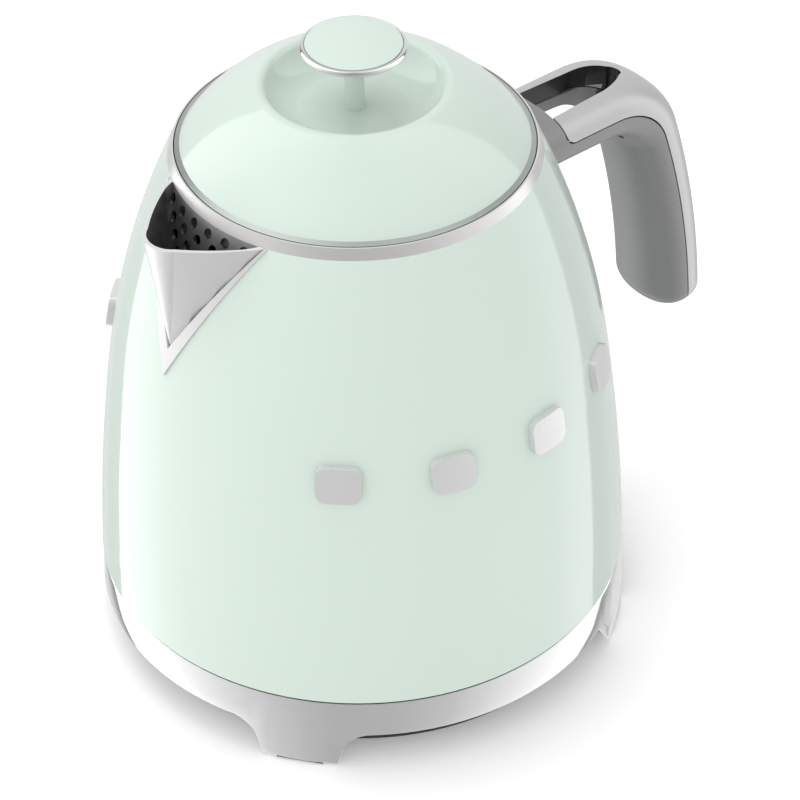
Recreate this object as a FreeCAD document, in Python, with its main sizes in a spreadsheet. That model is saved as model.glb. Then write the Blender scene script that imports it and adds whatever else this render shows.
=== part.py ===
"""Compact electric kettle on a swivel power base, in millimetres, +Z up.

The origin is on the standing surface, on the axis of the turned shell. The handle points
along +X and the spout along -X. The base carries four feet and the power post; the kettle
lifts off it, and the lid pulls out of the collar.
"""
import FreeCAD, Part
import Sketcher
import math
import os
from types import SimpleNamespace

os.makedirs("parts", exist_ok=True)
doc = FreeCAD.newDocument("kettle")
sheet = doc.addObject("Spreadsheet::Sheet", "Sizes")


class Size:
    """A number that also knows the sheet expression that gives it."""

    def __init__(self, text, number):
        self.text = text
        self.number = float(number)

    def __float__(self):
        return self.number

    def __add__(self, other):
        return Size(f"({self.text} + {words(other)})", self.number + float(other))

    def __radd__(self, other):
        return Size(f"({words(other)} + {self.text})", float(other) + self.number)

    def __sub__(self, other):
        return Size(f"({self.text} - {words(other)})", self.number - float(other))

    def __rsub__(self, other):
        return Size(f"({words(other)} - {self.text})", float(other) - self.number)

    def __mul__(self, other):
        return Size(f"({self.text} * {words(other)})", self.number * float(other))

    __rmul__ = __mul__

    def __truediv__(self, other):
        return Size(f"({self.text} / {words(other)})", self.number / float(other))

    def __rtruediv__(self, other):
        return Size(f"({words(other)} / {self.text})", float(other) / self.number)

    def __neg__(self):
        return Size(f"(-{self.text})", -self.number)


def words(value):
    """The expression text of a size or a plain number."""
    return value.text if isinstance(value, Size) else f"({float(value):.6f})"


# Driving dimensions: name, number, what it is.
DIMENSIONS = [
    ("shell_foot_radius", 74.5, "shell radius at its lower edge"),
    ("shell_foot_height", 24.0, "shell lower edge above the standing surface"),
    ("shell_waist_radius", 68.1, "shell radius where its two side curves join"),
    ("shell_waist_height", 90.0, "height of that join"),
    ("shell_neck_radius", 49.1, "shell radius at the collar"),
    ("shell_neck_height", 153.4, "height of the neck edge"),
    ("shell_side_curve", 650.0, "radius of the lower side curve in profile"),
    ("shell_wall", 0.9, "sheet thickness of the shell"),
    ("collar_rise", 2.9, "height of the brushed collar band"),
    ("opening_radius", 47.4, "bore of the collar that the lid plugs into"),
    ("ledge_radius", 43.4, "filling opening inside the collar ledge"),
    ("ledge_depth", 9.3, "ledge top below the collar rim"),
    ("ledge_thickness", 1.0, "thickness of the ledge"),
    ("running_gap", 0.3, "clearance between parts that move apart"),
    ("lid_edge_wall", 1.35, "visible width of the grey lid edge"),
    ("dome_curve", 62.0, "profile radius of the painted dome"),
    ("dome_rim_radius", 26.0, "where the dome turns into its dish"),
    ("dome_rim_rise", 17.1, "rim above the dome edge"),
    ("dish_depth", 8.0, "dish floor below the rim"),
    ("dish_floor_radius", 15.0, "flat part of the dish floor"),
    ("dome_sheet", 1.0, "dome thickness measured upright"),
    ("knob_radius", 13.9, "outer radius of the knob ring"),
    ("knob_rise", 17.9, "knob ring above the dish floor"),
    ("knob_rim", 1.35, "width of the bright ring round the inlay"),
    ("knob_crown", 1.6, "rise of the inlay's domed top"),
    ("stem_top_radius", 2.35, "stem under the knob"),
    ("stem_foot_radius", 2.8, "stem at the dish floor"),
    ("base_turn", -7.3, "degrees the base stands turned from the handle plane"),
    ("skirt_gap", 1.0, "shadow gap between shell and skirt"),
    ("skirt_top_radius", 74.3, "skirt radius at its upper edge"),
    ("skirt_foot_radius", 75.3, "skirt radius at the feet"),
    ("skirt_wall", 2.0, "skirt thickness"),
    ("foot_thickness", 4.4, "depth of a foot at the floor"),
    ("pad_half_width", 6.5, "half width of a rubber pad"),
    ("skirt_edge_height", 11.7, "lower edge of the skirt between the feet"),
    ("foot_half_top", 41.0, "half width of the arch between feet at its top"),
    ("foot_half_low", 45.7, "half width of the arch at the floor"),
    ("pad_rise", 1.0, "rubber pad under each foot"),
    ("deck_radius", 70.6, "raised deck the kettle stands on"),
    ("tray_radius", 69.6, "outer radius of the bottom tray"),
    ("tray_bottom", 4.0, "tray underside above the floor"),
    ("plastic_wall", 2.0, "moulded wall of deck, tray and covers"),
    ("post_radius", 14.8, "power post"),
    ("post_rise", 14.5, "power post above the deck"),
    ("post_play", 0.6, "clearance round the post"),
    ("socket_radius", 20.5, "outer radius of the kettle socket"),
    ("gland_bore", 6.2, "diameter of the cord inlet"),
    ("gland_diameter", 8.0, "outer diameter of the cord inlet bush"),
    ("gland_height", 7.2, "height of the cord inlet axis"),
    ("tank_floor_height", 54.0, "inside bottom of the tank"),
    ("element_radius", 36.0, "centre line radius of the heating element"),
    ("element_tube", 3.2, "radius of the element tube"),
    ("diffuser_thickness", 2.5, "aluminium plate under the tank floor"),
    ("steam_tube_radius", 3.5, "outer radius of the steam tube"),
    ("steam_tube_angle", 28.0, "degrees from the handle plane to the steam tube"),
    ("steam_tube_place", 47.0, "distance of the steam tube from the axis"),
    ("steam_tube_top", 139.0, "open upper end of the steam tube"),
    ("spout_reach", 66.5, "distance from the axis to the tip of the lip"),
    ("spout_nose_radius", 8.0, "plan radius of the lip"),
    ("spout_nose_half", 6.6, "half width where the nose curve ends"),
    ("spout_half_width", 20.7, "half width of the spout at the collar"),
    ("spout_side_curve", 70.0, "plan radius of the spout sides"),
    ("spout_wall", 1.1, "sheet thickness of the spout"),
    ("spout_root_depth", 9.0, "spout's working outline runs this far behind the shell"),
    ("spout_tip_overlap", 0.3, "spout's point starts this far inside the shell's face"),
    ("spout_foot_height", 110.5, "lowest point of the spout frame"),
    ("flange_width", 3.4, "visible width of the spout frame"),
    ("flange_top_width", 0.6, "width of the spout frame at the collar"),
    ("flange_rise", 0.7, "spout frame standing proud of the shell"),
    ("hole_diameter", 2.7, "perforations behind the spout"),
    ("hole_pitch", 6.0, "spacing along a row"),
    ("hole_row_pitch", 3.05, "spacing of the rows"),
    ("hole_top", 150.9, "height of the top row"),
    ("hole_margin", 2.0, "sheet between the outermost holes and the frame"),
    ("handle_width", 28.0, "width across the handle"),
    ("shank_radius", 1.3, "radius of every screw shank and of the bores for them"),
    ("base_head_radius", 2.9, "radius of the base screw heads"),
    ("base_head_height", 1.6, "height of the base screw heads"),
    ("cover_head_radius", 2.7, "radius of the cover screw heads"),
    ("cover_head_height", 1.2, "height of the cover screw heads"),
    ("gland_depth", 9.0, "cord bush reaching inside the tray"),
    ("gland_lip", 0.3, "cord bush flange standing past its bush"),
    ("insert_radius", 2.2, "brass insert in the handle"),
    ("insert_length", 9.0, "length of a handle insert"),
    ("insert_start", 0.6, "insert's set-back from the shell's face"),
    ("arm_top", 140.0, "upper face of the handle arm"),
    ("arm_depth", 14.0, "depth of the arm"),
    ("grip_depth", 18.0, "depth of the hanging grip"),
    ("handle_bend_place", 83.8, "where the arm starts to bend down"),
    ("handle_bend_curve", 26.0, "outer radius of the bend"),
    ("handle_lean", 19.0, "degrees that the grip leans where the bend ends"),
    ("grip_curve", 260.0, "long curve of the grip's outer face"),
    ("grip_end", 60.0, "height where the rounded end begins"),
    ("inner_bend_curve", 16.0, "inner radius of the bend"),
    ("handle_edge", 6.4, "rounding of the long handle edges"),
    ("seam_depth", 6.5, "polished cover depth on the arm"),
    ("seam_grip_depth", 9.0, "polished cover depth on the grip"),
    ("seam_bend_curve", 20.0, "seam radius at the bend"),
    ("seam_gap", 0.4, "shadow line between cover and grip"),
    ("fork_start", 62.4, "where the polished cover and the fork slot begin"),
    ("fork_taper", 80.0, "where the slot starts to narrow"),
    ("fork_nose", 91.2, "where the slot's round nose starts"),
    ("fork_wall_root", 6.6, "handle beside the slot at the root"),
    ("fork_wall_taper", 7.4, "handle beside the slot where it starts to narrow"),
    ("fork_nose_radius", 2.6, "radius of the slot's nose"),
    ("fork_taper_curve", 17.0, "plan curve of the slot's narrowing sides"),
    ("insert_margin", 3.5, "from the middle of a screw insert to the side of the handle"),
    ("stud_width", 12.0, "width of a trim stud"),
    ("stud_tall", 10.0, "height of a trim stud"),
    ("stud_rise", 1.9, "trim stud standing proud"),
    ("stud_height", 96.0, "height of the stud row"),
    ("stud_middle", 95.0, "degrees from the handle to the middle of each stud row"),
    ("stud_step", 25.35, "degrees between neighbouring studs"),
    ("window_width", 12.0, "water window width"),
    ("window_low", 64.0, "lower end of the water window"),
    ("window_high", 112.0, "upper end of the water window"),
    ("window_seal", 1.4, "seal round the water window"),
    ("switch_pivot_place", 57.0, "lever pivot from the axis"),
    ("switch_pivot_height", 33.5, "height of the lever pivot"),
    ("switch_width", 11.6, "width of the lever"),
    ("switch_reach", 81.0, "end of the lever tab from the axis"),
    ("filter_place", 45.6, "filter frame from the axis"),
    ("filter_half_width", 15.0, "half width of the filter frame"),
    ("filter_foot", 112.0, "height of the filter pivot"),
    ("filter_top", 145.2, "top of the filter frame"),
]
for row, (alias, number, note) in enumerate(DIMENSIONS, start=1):
    sheet.set(f"A{row}", alias)
    sheet.set(f"B{row}", str(number))
    sheet.setAlias(f"B{row}", alias)
    sheet.set(f"C{row}", note)
doc.recompute()
size = SimpleNamespace(**{alias: Size(f"Sizes.{alias}", number) for alias, number, note in DIMENSIONS})
nodes = []
HOLE_ROWS = 9
# The spout's sections between its lip and its point, as shares of its height.
SPOUT_SHARES = (0.75, 0.5, 0.25)
# How far each edge of the spout's inside moves in for one wall thickness.
RISE_INSET, SIDE_INSET, NOSE_INSET, TIP_INSET = 2.0, 1.8, 0.8, 0.4


# ---------------------------------------------------------------- helpers
def bind(item, **values):
    """Set properties of an object from sizes; double underscores stand for dots."""
    for key, value in values.items():
        item.setExpression(key.replace("__", "."), words(value))
    return item


def node(item, label):
    """Give a finished piece its name and put it on the list of pieces."""
    item.Label = label
    nodes.append(item)
    return item


def own_plane(body, role):
    return [plane for plane in body.Origin.OriginFeatures if plane.Role == role][0]


def sketch_on(body, role, name, lift=None):
    sketch = body.newObject("Sketcher::SketchObject", name)
    sketch.AttachmentSupport = (own_plane(body, role), [""])
    sketch.MapMode = "FlatFace"
    if lift is not None:
        bind(sketch, AttachmentOffset__Base__z=lift)
    return sketch


def arc_between(start, end, radius, side):
    """Arc from start to end; side 1 bulges to the left of the way, -1 to the right."""
    way = end - start
    left = FreeCAD.Vector(-way.y, way.x, 0).normalize()
    rise = math.sqrt(max(radius ** 2 - (way.Length / 2) ** 2, 0.0))
    centre = (start + end) * 0.5 - left * rise * side
    first, last = (end, start) if side > 0 else (start, end)
    from_angle = math.atan2(first.y - centre.y, first.x - centre.x)
    to_angle = math.atan2(last.y - centre.y, last.x - centre.x)
    if to_angle < from_angle:
        to_angle += 2 * math.pi
    circle = Part.Circle(centre, FreeCAD.Vector(0, 0, 1), radius)
    return Part.ArcOfCircle(circle, from_angle, to_angle)


def draw(sketch, points, arcs):
    """Closed outline through points; arcs maps an edge's number to (radius, side)."""
    corners = [FreeCAD.Vector(float(across), float(up), 0) for across, up in points]
    count = len(corners)
    heads = []
    tails = []
    for edge in range(count):
        start, end = corners[edge], corners[(edge + 1) % count]
        if edge in arcs:
            radius, side = arcs[edge]
            index = sketch.addGeometry(arc_between(start, end, float(radius), side), False)
            heads.append((index, 2 if side > 0 else 1))
            tails.append((index, 1 if side > 0 else 2))
        else:
            index = sketch.addGeometry(Part.LineSegment(start, end), False)
            heads.append((index, 1))
            tails.append((index, 2))
    for edge in range(count):
        head, tail = heads[edge], tails[edge - 1]
        sketch.addConstraint(Sketcher.Constraint("Coincident", tail[0], tail[1], head[0], head[1]))
        for kind, value, axis in (("DistanceX", points[edge][0], -2), ("DistanceY", points[edge][1], -1)):
            if float(value) == 0.0:
                sketch.addConstraint(Sketcher.Constraint("PointOnObject", head[0], head[1], axis))
                continue
            rule = Sketcher.Constraint(kind, -1, 1, head[0], head[1], float(value))
            number = sketch.addConstraint(rule)
            sketch.setExpression(f"Constraints[{number}]", words(value))
        if edge in arcs:
            rule = Sketcher.Constraint("Radius", head[0], float(arcs[edge][0]))
            number = sketch.addConstraint(rule)
            sketch.setExpression(f"Constraints[{number}]", words(arcs[edge][0]))
    return sketch


def turned(name, points, arcs=None):
    """A piece turned about the upright axis from its half section."""
    body = doc.addObject("PartDesign::Body", name)
    outline = draw(sketch_on(body, "XZ_Plane", name + "_section"), points, arcs or {})
    turn = body.newObject("PartDesign::Revolution", name + "_turn")
    turn.Profile = outline
    turn.ReferenceAxis = (outline, ["V_Axis"])
    turn.Angle = 360
    return body


def padded(name, role, points, length, lift=None, arcs=None):
    """A flat outline on one of the body's planes, padded along that plane's normal."""
    body = doc.addObject("PartDesign::Body", name)
    outline = draw(sketch_on(body, role, name + "_outline", lift), points, arcs or {})
    pad = body.newObject("PartDesign::Pad", name + "_pad")
    pad.Profile = outline
    bind(pad, Length=length)
    return body


def rounded(name, body, feature, edges, radius):
    """Round the named edges of a body's last feature."""
    fillet = body.newObject("PartDesign::Fillet", name)
    fillet.Base = (feature, edges)
    bind(fillet, Radius=radius)
    return fillet


def rod(name, radius, length, place, axis=(0, 0, 1)):
    """A plain cylinder that starts at place and runs along axis."""
    item = doc.addObject("Part::Cylinder", name)
    bind(item, Radius=radius, Height=length)
    turn = FreeCAD.Rotation(FreeCAD.Vector(0, 0, 1), FreeCAD.Vector(*axis))
    item.Placement = FreeCAD.Placement(FreeCAD.Vector(*[float(value) for value in place]), turn)
    bind(item, Placement__Base__x=place[0], Placement__Base__y=place[1], Placement__Base__z=place[2])
    return item


def block(name, low, high):
    """A box between two opposite corners."""
    item = doc.addObject("Part::Box", name)
    bind(item, Length=high[0] - low[0], Width=high[1] - low[1], Height=high[2] - low[2])
    bind(item, Placement__Base__x=low[0], Placement__Base__y=low[1], Placement__Base__z=low[2])
    return item


def cut(name, solid, *tools):
    item = doc.addObject("Part::Cut", name)
    item.Base = solid
    item.Tool = tools[0] if len(tools) == 1 else fuse(name + "_tools", *tools)
    return item


def fuse(name, *solids):
    item = doc.addObject("Part::MultiFuse", name)
    item.Shapes = list(solids)
    return item


def common(name, solid, tool):
    item = doc.addObject("Part::Common", name)
    item.Base = solid
    item.Tool = tool
    return item


def group(name, items):
    """Separate solids that share one node, such as a set of screws."""
    item = doc.addObject("Part::Compound", name)
    item.Links = list(items)
    return item


def turned_place(item, degrees):
    """Turn a finished piece about the upright axis through the origin."""
    turn = FreeCAD.Rotation(FreeCAD.Vector(0, 0, 1), float(degrees))
    item.Placement = FreeCAD.Placement(FreeCAD.Vector(0, 0, 0), turn).multiply(item.Placement)
    return item


def round_about(distance, degrees, height):
    """A place given by distance from the axis, direction and height."""
    angle = math.radians(float(degrees))
    return (distance * math.cos(angle), distance * math.sin(angle), height)


# ---------------------------------------------------------------- the shell's profile
def upper_curve():
    """Radius of the upper side curve, which runs on smoothly from the lower one."""
    foot = FreeCAD.Vector(size.shell_foot_radius.number, size.shell_foot_height.number, 0)
    waist = FreeCAD.Vector(size.shell_waist_radius.number, size.shell_waist_height.number, 0)
    neck = FreeCAD.Vector(size.shell_neck_radius.number, size.shell_neck_height.number, 0)
    lower = arc_between(foot, waist, size.shell_side_curve.number, -1)
    inward = (lower.Center - waist).normalize()
    chord = neck - waist
    radius = chord.Length ** 2 / (2 * chord.dot(inward))
    return radius, lower.Center, waist + inward * radius


shoulder_curve, lower_centre, upper_centre = upper_curve()


def shell_radius(height):
    """Outer radius of the shell at a height."""
    low = float(height) <= size.shell_waist_height.number
    centre = lower_centre if low else upper_centre
    radius = size.shell_side_curve.number if low else shoulder_curve
    return centre.x + math.sqrt(radius ** 2 - (float(height) - centre.y) ** 2)


def side_points(offset):
    """The shell's side from foot to neck, moved outward by an offset."""
    return [
        (size.shell_foot_radius + offset, size.shell_foot_height),
        (size.shell_waist_radius + offset, size.shell_waist_height),
        (size.shell_neck_radius + offset, size.shell_neck_height),
    ]


def band(name, inner, outer):
    """A layer that follows the shell's side between two offsets from its outer face."""
    arcs = {0: (size.shell_side_curve, -1), 1: (shoulder_curve, -1),
            3: (shoulder_curve, 1), 4: (size.shell_side_curve, 1)}
    return turned(name, side_points(outer) + side_points(inner)[::-1], arcs)


def filled_shell(name):
    """The whole space inside the shell's outer face."""
    arcs = {0: (size.shell_side_curve, -1), 1: (shoulder_curve, -1)}
    middle = [(0, size.shell_neck_height), (0, size.shell_foot_height)]
    return turned(name, side_points(0) + middle, arcs)


# ---------------------------------------------------------------- base
def make_base():
    top = size.shell_foot_height - size.skirt_gap
    deck_top = size.shell_foot_height - size.running_gap
    wall = size.plastic_wall

    skirt = turned("skirt_body", [
        (size.skirt_top_radius, top),
        (size.skirt_foot_radius, size.pad_rise),
        (size.skirt_foot_radius - size.foot_thickness, size.pad_rise),
        (size.skirt_top_radius - size.skirt_wall, top),
    ])
    arch = sketch_on(skirt, "YZ_Plane", "arch_outline")
    draw(arch, [
        (-size.foot_half_low, -1.0),
        (size.foot_half_low, -1.0),
        (size.foot_half_top + 2.4, size.skirt_edge_height - 4.6),
        (size.foot_half_top - 3.0, size.skirt_edge_height),
        (-(size.foot_half_top - 3.0), size.skirt_edge_height),
        (-(size.foot_half_top + 2.4), size.skirt_edge_height - 4.6),
    ], {2: (7.0, -1), 4: (7.0, -1)})
    pocket = skirt.newObject("PartDesign::Pocket", "arch_pocket")
    pocket.Profile = arch
    pocket.Reversed = True
    bind(pocket, Length=size.skirt_foot_radius + 10)
    repeat = skirt.newObject("PartDesign::PolarPattern", "arch_repeat")
    repeat.Originals = [pocket]
    repeat.Axis = (own_plane(skirt, "Z_Axis"), [""])
    repeat.Angle = 360
    repeat.Occurrences = 4
    skirt.Tip = repeat
    node(turned_place(skirt, size.base_turn), "base_skirt")

    pads = []
    for quarter in range(4):
        near = size.skirt_foot_radius - size.foot_thickness
        far = size.skirt_foot_radius - 1.0
        half = size.pad_half_width
        outline = [(near, -half), (far, -half), (far, half), (near, half)]
        pad = padded(f"pad_{quarter}", "XY_Plane", outline, size.pad_rise)
        pads.append(turned_place(pad, 45 + 90 * quarter + size.base_turn.number))
    node(group("pads", pads), "foot_pads")

    screw_circle = size.deck_radius - 12
    bosses = []
    bores = []
    screws = []
    for quarter in range(4):
        angle = 90 * quarter + 45 + size.base_turn.number
        foot = round_about(screw_circle, angle, size.tray_bottom + wall)
        bosses.append(rod(f"deck_boss_{quarter}", 3.6, deck_top - size.tray_bottom - wall * 1.5, foot))
        bores.append(
            rod(f"deck_bore_{quarter}", size.shank_radius, deck_top - size.tray_bottom - wall * 2.2, foot),
        )
        head = rod(
            f"base_screw_head_{quarter}", size.base_head_radius, size.base_head_height,
            round_about(screw_circle, angle, size.tray_bottom),
        )
        shank = rod(
            f"base_screw_shank_{quarter}", size.shank_radius, 11.0,
            round_about(screw_circle, angle, size.tray_bottom + size.base_head_height),
        )
        screws.append(fuse(f"base_screw_{quarter}", head, shank))
    node(group("base_screw_set", screws), "base_screws")

    post_hole = size.post_radius - 1.5
    deck_plate = turned("deck_plate", [
        (post_hole, deck_top - wall),
        (size.deck_radius - wall, deck_top - wall),
        (size.deck_radius - wall, top - 5.0),
        (size.deck_radius, top - 5.0),
        (size.deck_radius, deck_top - 0.8),
        (size.deck_radius - 0.8, deck_top),
        (post_hole, deck_top),
    ])
    node(cut("deck_done", fuse("deck_solid", deck_plate, *bosses), *bores), "base_deck")

    tray_plate = turned("tray_plate", [
        (0, size.tray_bottom),
        (size.tray_radius - 1.5, size.tray_bottom),
        (size.tray_radius, size.tray_bottom + 1.5),
        (size.tray_radius, top - 5.2),
        (size.tray_radius - wall, top - 5.2),
        (size.tray_radius - wall, size.tray_bottom + wall),
        (0, size.tray_bottom + wall),
    ])
    wells = []
    for quarter in range(4):
        angle = 90 * quarter + 45 + size.base_turn.number
        wells.append(
            rod(
                f"tray_well_{quarter}", size.base_head_radius, size.base_head_height,
                round_about(screw_circle, angle, size.tray_bottom),
            ),
        )
        wells.append(
            rod(
                f"tray_hole_{quarter}", size.shank_radius, wall,
                round_about(screw_circle, angle, size.tray_bottom),
            ),
        )
    gland_start = size.tray_radius - size.gland_depth
    gland_axis = round_about(1.0, size.base_turn, 0)
    start = round_about(gland_start, size.base_turn, size.gland_height)
    inner = round_about(gland_start - 1, size.base_turn, size.gland_height)
    opening = rod("gland_opening", size.gland_diameter / 2, 14.0, start, gland_axis)
    node(cut("tray_done", tray_plate, opening, *wells), "base_tray")

    bush = rod("gland_bush", size.gland_diameter / 2, 12.0, start, gland_axis)
    collar_place = round_about(size.tray_radius, size.base_turn, size.gland_height)
    flange = rod("gland_flange", size.gland_diameter / 2 + size.gland_lip, 1.6, collar_place, gland_axis)
    bore = rod("gland_bore_tool", size.gland_bore / 2, 16.0, inner, gland_axis)
    node(cut("gland_done", fuse("gland_solid", bush, flange), bore), "cord_gland")

    post_top = deck_top + size.post_rise
    post_low = deck_top - wall - 4
    tracks = [2.4, 7.0, 11.4]
    grooves = [tracks[0] + 1.2, tracks[1] - 0.8, tracks[1] + 0.8, tracks[2] - 0.8, tracks[2] + 0.8]
    post = turned("post_body", [
        (0, post_low), (post_hole, post_low), (post_hole, deck_top),
        (size.post_radius, deck_top), (size.post_radius, post_top - 1.5), (size.post_radius - 1.5, post_top),
        (grooves[4], post_top), (grooves[4], post_top - 3), (grooves[3], post_top - 3), (
            grooves[3], post_top,
        ),
        (grooves[2], post_top), (grooves[2], post_top - 3), (grooves[1], post_top - 3), (
            grooves[1], post_top,
        ),
        (grooves[0], post_top), (grooves[0], post_top - 3), (0, post_top - 3),
    ])
    node(post, "power_post")
    rings = [
        rod("contact_pin", grooves[0], 2.6, (0, 0, post_top - 3)),
        turned("contact_ring_live", [(grooves[1], post_top - 3), (grooves[2], post_top - 3),
                                     (grooves[2], post_top - 0.4), (grooves[1], post_top - 0.4)]),
        turned("contact_ring_earth", [(grooves[3], post_top - 3), (grooves[4], post_top - 3),
                                      (grooves[4], post_top - 0.4), (grooves[3], post_top - 0.4)]),
    ]
    node(group("contact_set", rings), "contact_rings")
    blades = []
    for turn in range(3):
        place = round_about(8.0, 120 * turn, post_low - 5)
        low = (place[0] - 1.5, place[1] - 0.4, place[2])
        blades.append(block(f"base_blade_{turn}", low, (low[0] + 3, low[1] + 0.8, post_low)))
    node(group("base_blades", blades), "base_terminals")
    return deck_top, post_top


# ---------------------------------------------------------------- socket and parts under the tank
def make_underside(post_top):
    foot = size.shell_foot_height
    wall = size.plastic_wall
    cavity = size.post_radius + size.post_play
    ceiling = post_top + 1.0
    socket_top = ceiling + 2.5
    node(turned("socket_body", [
        (cavity + 1.2, foot), (size.socket_radius, foot), (size.socket_radius, socket_top), (0, socket_top),
        (0, ceiling), (cavity, ceiling), (cavity, foot + 1.2),
    ]), "kettle_socket")

    floor = size.tank_floor_height
    edge = shell_radius(floor) - size.shell_wall
    edge_top = shell_radius(floor.number + 5) - size.shell_wall
    node(cut("tank_floor_done", turned("tank_floor_body", [
        (0, floor - 1), (edge - 0.2, floor - 1), (edge_top - 0.05, floor + 5), (edge_top - 1.05, floor + 5),
        (edge_top - 1.4, floor + 1.2), (edge_top - 2.6, floor), (0, floor),
    ]), rod("steam_hole", size.steam_tube_radius + 1, 4.0, steam_place(floor - 2))), "tank_floor")

    plate_low = floor - 1 - size.diffuser_thickness
    plate_radius = size.element_radius + size.element_tube + 1.5
    node(rod("diffuser_disc", plate_radius, size.diffuser_thickness, (0, 0, plate_low)), "heat_diffuser")

    ring = doc.addObject("Part::Torus", "element_ring")
    bind(ring, Radius1=size.element_radius, Radius2=size.element_tube)
    bind(ring, Placement__Base__z=plate_low - size.element_tube)
    ring.Angle3 = 300
    ring.Placement.Rotation = FreeCAD.Rotation(FreeCAD.Vector(0, 0, 1), 30)
    node(ring, "heating_element")
    pins = []
    for turn, angle in enumerate((33, 327)):
        top = plate_low - size.element_tube * 2
        pins.append(rod(f"cold_pin_{turn}", 1.6, 7.0, round_about(size.element_radius, angle, top - 7)))
    node(group("cold_pins", pins), "element_pins")

    control_low = socket_top + size.running_gap
    control_top = plate_low - 1.2
    control = turned("control_disc", [
        (0, control_low), (size.socket_radius + 4, control_low), (size.socket_radius + 4, control_top - 1),
        (size.socket_radius + 3, control_top), (0, control_top),
    ])
    node(control, "control_housing")
    discs = []
    for side in (-1, 1):
        discs.append(rod(f"bimetal_{side + 1}", 6.5, 1.0, (0, 10.5 * side, control_top)))
    node(group("bimetals", discs), "bimetal_discs")

    cover_radius = size.shell_foot_radius - size.shell_wall - 0.5
    screw_circle = cover_radius - 14
    posts = []
    screws = []
    holes = []
    for turn in range(3):
        angle = 60 + 120 * turn
        posts.append(cut(
            f"standoff_{turn}",
            rod(
                f"standoff_rod_{turn}", 3.0, floor - 1 - foot - wall,
                round_about(screw_circle, angle, foot + wall),
            ),
            rod(
                f"standoff_bore_{turn}", size.shank_radius, 8.4,
                round_about(screw_circle, angle, foot + wall),
            ),
        ))
        head = rod(
            f"cover_head_{turn}", size.cover_head_radius, size.cover_head_height,
            round_about(screw_circle, angle, foot),
        )
        shank = rod(
            f"cover_shank_{turn}", size.shank_radius, 8.0,
            round_about(screw_circle, angle, foot + size.cover_head_height),
        )
        screws.append(fuse(f"cover_screw_{turn}", head, shank))
        holes.append(
            rod(
                f"cover_well_{turn}", size.cover_head_radius, size.cover_head_height,
                round_about(screw_circle, angle, foot),
            ),
        )
        holes.append(
            rod(f"cover_hole_{turn}", size.shank_radius, wall, round_about(screw_circle, angle, foot)),
        )
    node(group("standoffs", posts), "cover_standoffs")
    node(group("cover_screw_set", screws), "cover_screws")
    node(cut("cover_done", turned("cover_plate", [
        (size.socket_radius + size.running_gap, foot), (cover_radius - 0.6, foot), (
            cover_radius, foot + 0.6,
        ),
        (cover_radius, foot + wall), (size.socket_radius + size.running_gap, foot + wall),
    ]), *holes), "under_cover")


def steam_place(height):
    return round_about(size.steam_tube_place, size.steam_tube_angle, height)


def make_steam_path():
    low = size.switch_pivot_height + 6.5
    tube = rod("steam_pipe", size.steam_tube_radius, size.steam_tube_top - low, steam_place(low))
    bore = rod(
        "steam_pipe_bore", size.steam_tube_radius - 1, size.steam_tube_top - low + 2, steam_place(low - 1),
    )
    node(cut("steam_tube_done", tube, bore), "steam_tube")
    floor = size.tank_floor_height
    seal = rod("steam_seal_ring", size.steam_tube_radius + 1, 1.0, steam_place(floor - 1))
    lip = rod("steam_seal_lip", size.steam_tube_radius + 2.2, 2.0, steam_place(floor))
    hole = rod("steam_seal_hole", size.steam_tube_radius, 5.0, steam_place(floor - 2))
    node(cut("steam_seal_done", fuse("steam_seal_solid", seal, lip), hole), "steam_seal")


# ---------------------------------------------------------------- switch under the handle
def make_switch():
    pivot_x = size.switch_pivot_place
    pivot_z = size.switch_pivot_height
    half = size.switch_width / 2
    inner = half + 1.2
    far = inner + 20.5
    box = block(
        "switch_box", (pivot_x - 23, -(inner + 1.5), pivot_z - 6), (pivot_x + 4, far + 1.5, pivot_z + 6.5),
    )
    room = block("switch_room", (pivot_x - 21.5, -inner, pivot_z - 4.5), (pivot_x + 5, far, pivot_z + 5))
    inlet = rod("switch_inlet", size.steam_tube_radius - 1, 4.0, steam_place(pivot_z + 4))
    pin_hole = rod("switch_pin_hole", 1.1, far + inner + 6, (pivot_x, -(inner + 3), pivot_z), (0, 1, 0))
    node(cut("switch_box_done", box, room, inlet, pin_hole), "switch_housing")
    node(rod("switch_pin", 1.1, far + inner + 2, (pivot_x, -(inner + 1), pivot_z), (0, 1, 0)), "switch_pin")

    tip = size.switch_reach
    blade = padded("lever_blade", "XZ_Plane", [
        (pivot_x - 3.0, pivot_z - 2.0), (pivot_x + 8, pivot_z - 1.6), (tip - 6, pivot_z - 1.5),
        (tip, pivot_z - 2.6), (tip, pivot_z + 0.6), (tip - 6, pivot_z + 1.5),
        (pivot_x + 8, pivot_z + 1.6), (pivot_x - 3.0, pivot_z + 2.0),
    ], size.switch_width, -half, {3: (4.0, -1)})
    hole = rod("lever_hole", 1.25, size.switch_width + 4, (pivot_x, -(half + 2), pivot_z), (0, 1, 0))
    node(cut("lever_done", blade, hole), "switch_lever")

    disc = rod("steam_disc", 5.2, 1.0, steam_place(pivot_z - 3.2))
    node(disc, "steam_bimetal")
    leaf = block(
        "spring_leaf", (pivot_x - 9.6, half + 1.8, pivot_z - 4.2), (pivot_x - 1, half + 5.8, pivot_z - 3.8),
    )
    node(leaf, "switch_spring")

    face = shell_radius(pivot_z)
    frame = block("bezel_block", (face - 2.4, -(half + 2), pivot_z - 6), (face + 0.9, half + 2, pivot_z + 6))
    gap = block("bezel_gap", (face - 4, -(half + 0.5), pivot_z - 4.6), (face + 3, half + 0.5, pivot_z + 4.6))
    node(cut("bezel_done", frame, gap), "switch_bezel")
    return block(
        "switch_shell_opening", (face - 6, -(half + 2), pivot_z - 6), (face + 6, half + 2, pivot_z + 6),
    )


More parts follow.
